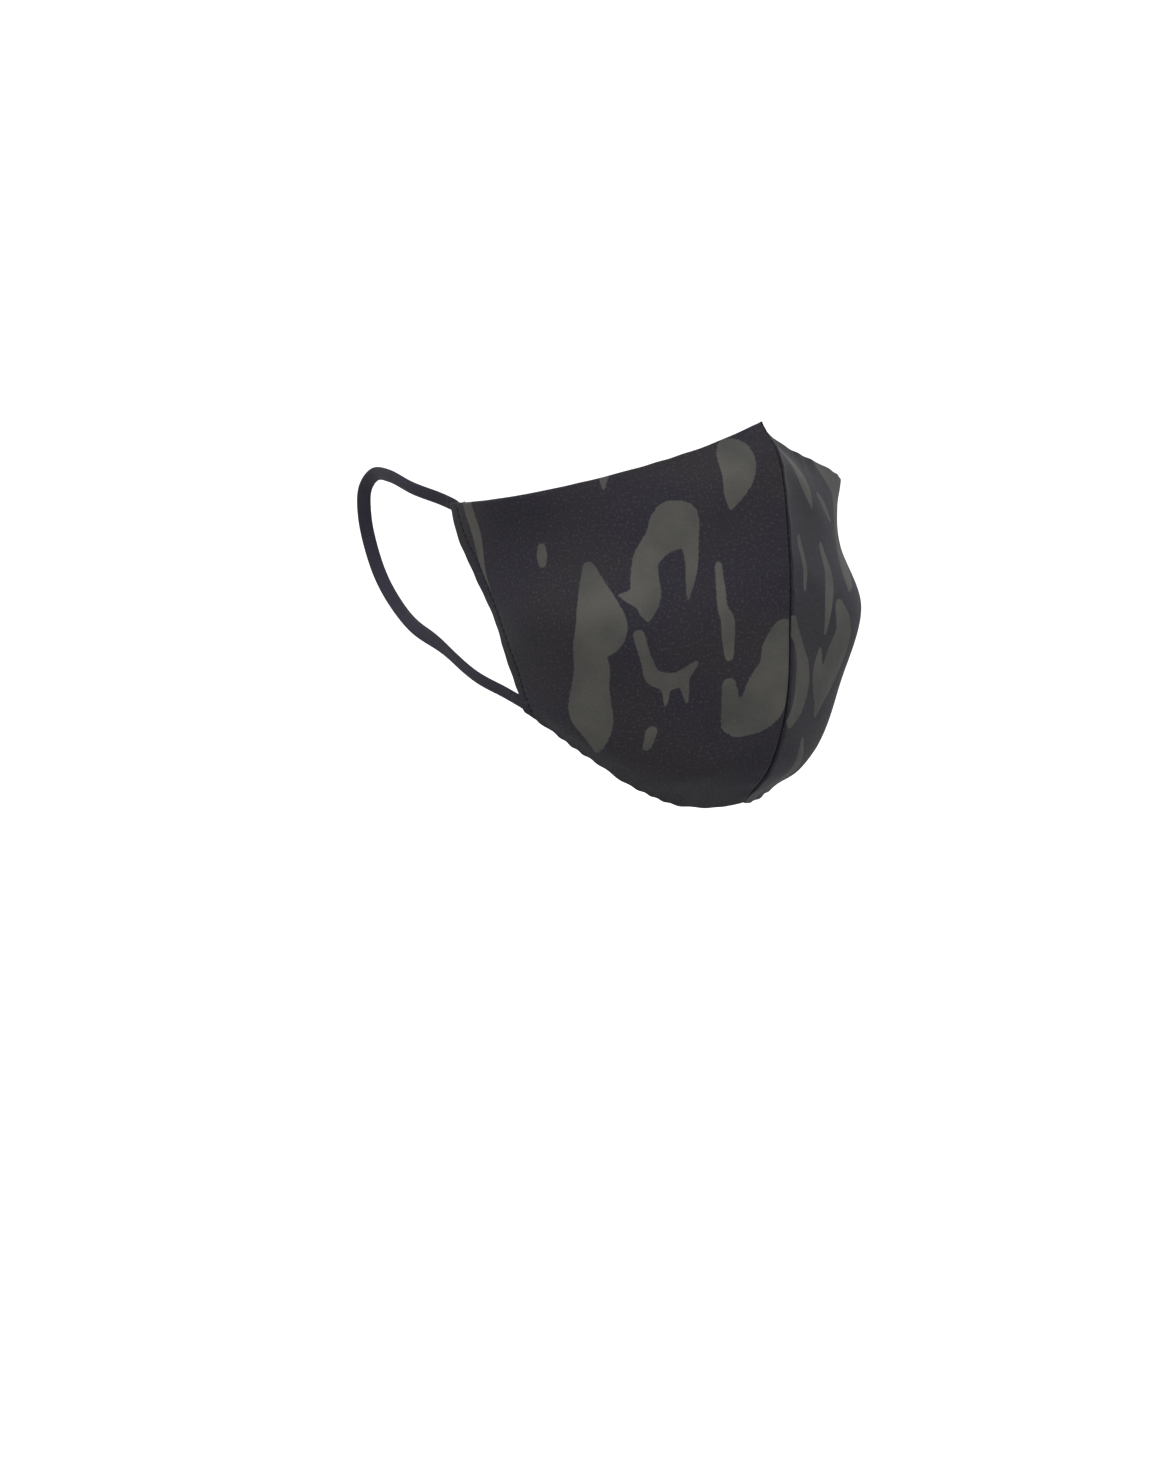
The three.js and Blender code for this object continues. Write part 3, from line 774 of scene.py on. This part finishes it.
# Edge seams: outer cloth and lining are sewn face to face along the top and bottom, then turned
# out, so these lines of lockstitch lie hidden between the layers: 3 mm in from the edge at the
# seam, and less towards the sides.
edge_inset = 3.0 / marked_seam
edge_start, edge_end = 0.04, 0.93  # shares of the row that the seam covers, short of seam and hem
edge_seam_depth = 0.75 * mm
edge_stitch, edge_stitch_gap = 2.0 * mm, 0.5 * mm
for side in ("right", "left"):
    for edge, down in (("top", edge_inset), ("bottom", 1 - edge_inset)):
        across = np.linspace(edge_start, edge_end, 260)
        line = lay(side, across, down, edge_seam_depth)
        off_cloth = cut_frame(across, np.full(across.shape, down))[1] * -mirror(side)
        name = f"{edge}_edge_stitches_{side}"
        stitches = sew(name, [(line, off_cloth)], edge_stitch, edge_stitch_gap, dark_thread)
        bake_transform(stitches)
        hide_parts(f"{side}_{edge}_edge_thread")


# Side hem stitches: one line of topstitching through face, lining and turned-in cloth, pulled
# down into the cloth, with its under-thread showing on the wearer's side.
hem_downs = np.linspace(0.012, 0.988, 220)
hem_stitch, hem_stitch_gap = 1.7 * mm, 0.6 * mm
hem_thread_radius = 0.2 * mm
above_cloth = 0.02 * mm  # from a cloth's or elastic's face to the middle of a stitch's ends
for side in ("right", "left"):
    across = share_at(-hem_stitch_inset, hem_downs)
    out_of_cloth = cut_frame(across, hem_downs)[1] * mirror(side)
    face_line = lay(side, across, hem_downs, -above_cloth)
    under_line = lay(side, across, hem_downs, 2 * hem_turn + above_cloth)
    lines = [(face_line, out_of_cloth), (under_line, -out_of_cloth)]
    name = f"hem_stitches_{side}"
    stitches = sew(name, lines, hem_stitch, hem_stitch_gap, dark_thread, hem_thread_radius)
    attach(stitches, f"{side}_half")
    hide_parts(f"{side}_side_hem_thread")


# Ear loops: flat braided elastic, 5 mm wide. Each end is laid on the inside of the hem at a
# rear corner and tacked there; the rest runs free round the ear and turns edgewise behind it.
elastic_width = 5 * mm
elastic_thickness = 1.1 * mm
elastic_tail = 9 * mm
elastic_lead = 3.35 * mm
elastic_depth = 4.6 * mm  # middle of the elastic below the face of the cloth
elastic_settles = 1.25 * mm  # how much closer the stitches pull its ends to the hem
top_inset, bottom_inset = 5.4 * mm, 1 * mm  # from the panel's edges to the middle of the ends
bow_twist = radians(65)
turn_in, turn_out = (0.23, 0.42), (0.6, 0.77)  # where along it the elastic turns, and turns back
settled_by = 2.6  # tails from its ends, where the elastic no longer lies close to the hem
# The free run round the right ear, from top to bottom: how far outside the panel's width, how
# far back from the ears' line and how high, in millimetres
ear_route = [
    [3, -15, 5],
    [4.5, -2, 9],
    [3.5, 9, 9],
    [2, 17.5, 3],
    [0, 20.5, -7],
    [-2, 19.5, -18],
    [-3, 14.5, -28.5],
    [-3.5, 6, -37.5],
    [-3.5, -5, -44.5],
    [-4.5, -20, -50.5],
    [-8, -38, -60.8],
]
route = np.array([(-half_width - out * mm, y * mm, z * mm) for out, y, z in ear_route])


def hem_corner(down, towards):
    """Where an elastic end is sewn: its middle, the way it leads off, and out of the cloth."""
    across = share_at(-elastic_tail / 2, down)
    normal = cut_frame(across, np.array(down))[1]
    seat = cut_face(across, down) - normal * elastic_depth
    lead = towards - seat
    return seat, unit(lead - (lead @ normal) * normal), normal


side_length = (from_middle[-1, -1] - from_middle[0, -1]) * mm
corners = [hem_corner(top_inset / side_length, route[0]),
           hem_corner(1 - bottom_inset / side_length, route[-1])]
sewn_places = np.array([-elastic_tail, -elastic_tail / 2, 0, elastic_lead]) + elastic_tail / 2
top_points, bottom_points = (seat + lead * sewn_places[:, None] for seat, lead, _ in corners)
loop_knots = np.concatenate([top_points, route, bottom_points[::-1]])
fine_loop = smooth_line(loop_knots, np.linspace(0, 1, 4001))
fine_lengths = lengths_along(fine_loop)
loop_length = fine_lengths[-1]


def elastic_frame(distances):
    """Centre, width and thickness directions of the right elastic at distances from its top end."""
    probe = 0.2 * mm
    behind, centre, ahead = (read_line(distances + step, fine_lengths, fine_loop)
                             for step in (-probe, 0, probe))
    along = unit(ahead - behind)
    share = (distances / loop_length)[:, None]
    turned = ease(share, *turn_in) * (1 - ease(share, *turn_out))
    flat = corners[0][2] * (1 - share) + corners[1][2] * share
    flat = flat * (1 - turned) + np.array([-1.0, 0, 0]) * turned
    flat = unit(flat - np.sum(flat * along, axis=1, keepdims=True) * along)
    edgewise = np.cross(along, flat)
    width = edgewise * np.cos(bow_twist * turned) + flat * np.sin(bow_twist * turned)
    for from_end, (_, _, normal) in zip((distances, loop_length - distances), corners):
        held = 1 - ease(from_end, elastic_tail, settled_by * elastic_tail)
        centre = centre + elastic_settles * held[:, None] * normal
    return centre, width, np.cross(width, along)


def braided_finish():
    """Braided elastic: matt polyester yarns that slant over the rubber in a herringbone."""
    finish, tree, shader = blank_finish("braided_elastic")
    place = add_node(tree, "ShaderNodeUVMap", {}, uv_map="braid").outputs["UV"]
    split = add_node(tree, "ShaderNodeSeparateXYZ", {"Vector": place})
    across = reckon(tree, "MULTIPLY", reckon(tree, "PINGPONG", split.outputs["X"], 3.0), 1.1)
    lengthwise = reckon(tree, "MULTIPLY", split.outputs["Y"], 7.5)
    yarn = reckon(tree, "SINE", reckon(tree, "ADD", across, lengthwise), 0)
    fuzz = noise(tree, place, 3.2, 4)
    ground, cast, yarn_colour, lint = elastic_colours
    colour = mix(tree, between(tree, noise(tree, place, 0.08, 3), 0.35, 0.65), ground, cast)
    lighter = mix(tree, between(tree, yarn, -1.0, 1.0), yarn_colour, colour)
    colour = mix(tree, 0.5, colour, lighter)
    fluff = reckon(tree, "MULTIPLY", between(tree, fuzz, 0.55, 0.8), 0.35)
    colour = mix(tree, fluff, colour, lint)
    surface = reckon(tree, "ADD", yarn, reckon(tree, "MULTIPLY", fuzz, 1.2))
    dress(tree, shader, colour, surface, 0.7, 0.06 * mm,
          {"Roughness": 0.8, "Specular IOR Level": 0.14, "Sheen Weight": 0.05, "Sheen Roughness": 0.5})
    return finish


elastic_colours = [(0.0080, 0.0068, 0.0125, 1), (0.0105, 0.0086, 0.0165, 1),
                   (0.009, 0.009, 0.012, 1), (0.07, 0.07, 0.085, 1)]
elastic_finish = braided_finish()
elastic_step = 0.6 * mm  # between the rings of points along a band
yarn_pitch, yarn_rise = 1.8 * mm, 0.05


def elastic_section(sides=22, cords=7, groove=0.14):
    """Half outline across the braid: a flat band of lengthwise cords, thin at its edges."""
    x = -np.cos(np.linspace(0, pi, sides + 1))
    body = (1 - np.abs(x)**5)**0.5
    return x, body * (1 - groove + groove * np.abs(np.sin(x * pi * cords / 2 + pi / 2)))


def elastic_band(name, start, end, side):
    """A length of the elastic between two distances from its top end, and its middle line."""
    distances = np.linspace(start, end, int((end - start) / elastic_step) + 2)
    centre, width, thickness = elastic_frame(distances)
    half_x, half_rise = elastic_section()
    x = np.concatenate([half_x, half_x[-2:0:-1]])
    rise = np.concatenate([half_rise, -half_rise[-2:0:-1]])
    yarns = np.sin(distances[:, None] / yarn_pitch * 2 * pi + 9 * np.abs(x))
    sideways = x * elastic_width / 2
    upwards = rise * (1 + yarn_rise * yarns) * elastic_thickness / 2
    points = centre[:, None] + width[:, None] * sideways[:, None] + thickness[:, None] * upwards[..., None]
    count = len(x)
    faces, tape = [], []
    for i, (v1, v2) in enumerate(zip(distances / mm, distances[1:] / mm)):
        for k in range(count):
            a, b = i * count + k, i * count + (k + 1) % count
            faces.append((a, b, b + count, a + count))
            tape.append([(k, v1), (k + 1, v1), (k + 1, v2), (k, v2)])
    last = (len(distances) - 1) * count
    faces.append(tuple(reversed(range(count))))
    faces.append(tuple(range(last, last + count)))
    tape.extend([[(0, start / mm)] * count, [(0, end / mm)] * count])
    if side == "left":
        faces = [face[::-1] for face in faces]
        tape = [places[::-1] for places in tape]
    piece = smooth_piece(name, (points * mirror(side)).reshape(-1, 3).tolist(), faces, elastic_finish)
    measured = np.array([place for places in tape for place in places], float)
    piece.data.uv_layers.new(name="braid").data.foreach_set("uv", measured.ravel())
    return piece, centre * mirror(side)


# As the loop swings, the elastic bends between these distances from the side edge. It stretches
# from well in front of the ears' line to just behind it.
bend_start, bend_end = 0.5 * mm, 8 * mm
root_length = elastic_tail + bend_end
for side in ("right", "left"):
    for end, (seat, lead, normal) in zip(("top", "bottom"), corners):
        first, last = (0, root_length) if end == "top" else (loop_length - root_length, loop_length)
        root, _ = elastic_band(f"elastic_{end}_end_{side}", first, last, side)
        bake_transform(root)
        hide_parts(f"{side}_elastic_{end}_end")
    loop, path = elastic_band(f"ear_loop_{side}", root_length, loop_length - root_length, side)
    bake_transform(loop)
    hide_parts(*(f"{side}_elastic_{name}" for name in ("upper_strand", "bow", "lower_strand")))


# Bar tacks: a dozen close zigzag stitches across each elastic end, through elastic and hem.
tack_length, tack_width = 4.4 * mm, 1.6 * mm
tack_passes = 12
tack_points = 9
tack_stitch, tack_gap = 0.98 * tack_length, 0.01 * mm  # one stitch to a pass
tack_thread_radius = 0.14 * mm
for side in ("right", "left"):
    for end, (seat, lead, normal) in zip(("top", "bottom"), corners):
        across_band = np.cross(lead, normal)
        middle_of_tack = seat + normal * (elastic_settles - elastic_thickness / 2 - above_cloth)
        lines = []
        for count in range(tack_passes):
            along_tack = lead * tack_width * (count / (tack_passes - 1) - 0.5)
            slant = lead * tack_width / tack_passes * 0.5
            ends = np.array([middle_of_tack + along_tack + sign * (across_band * tack_length / 2 + slant)
                             for sign in (-1, 1)])
            points = ends[0] + (ends[1] - ends[0]) * np.linspace(0, 1, tack_points)[:, None]
            lines.append((points * mirror(side), np.tile(-normal * mirror(side), (tack_points, 1))))
        name = f"{end}_bar_tack_{side}"
        tack = sew(name, lines, tack_stitch, tack_gap, dark_thread, tack_thread_radius)
        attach(tack, f"{side}_half")
        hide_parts(f"{side}_{end}_tack")
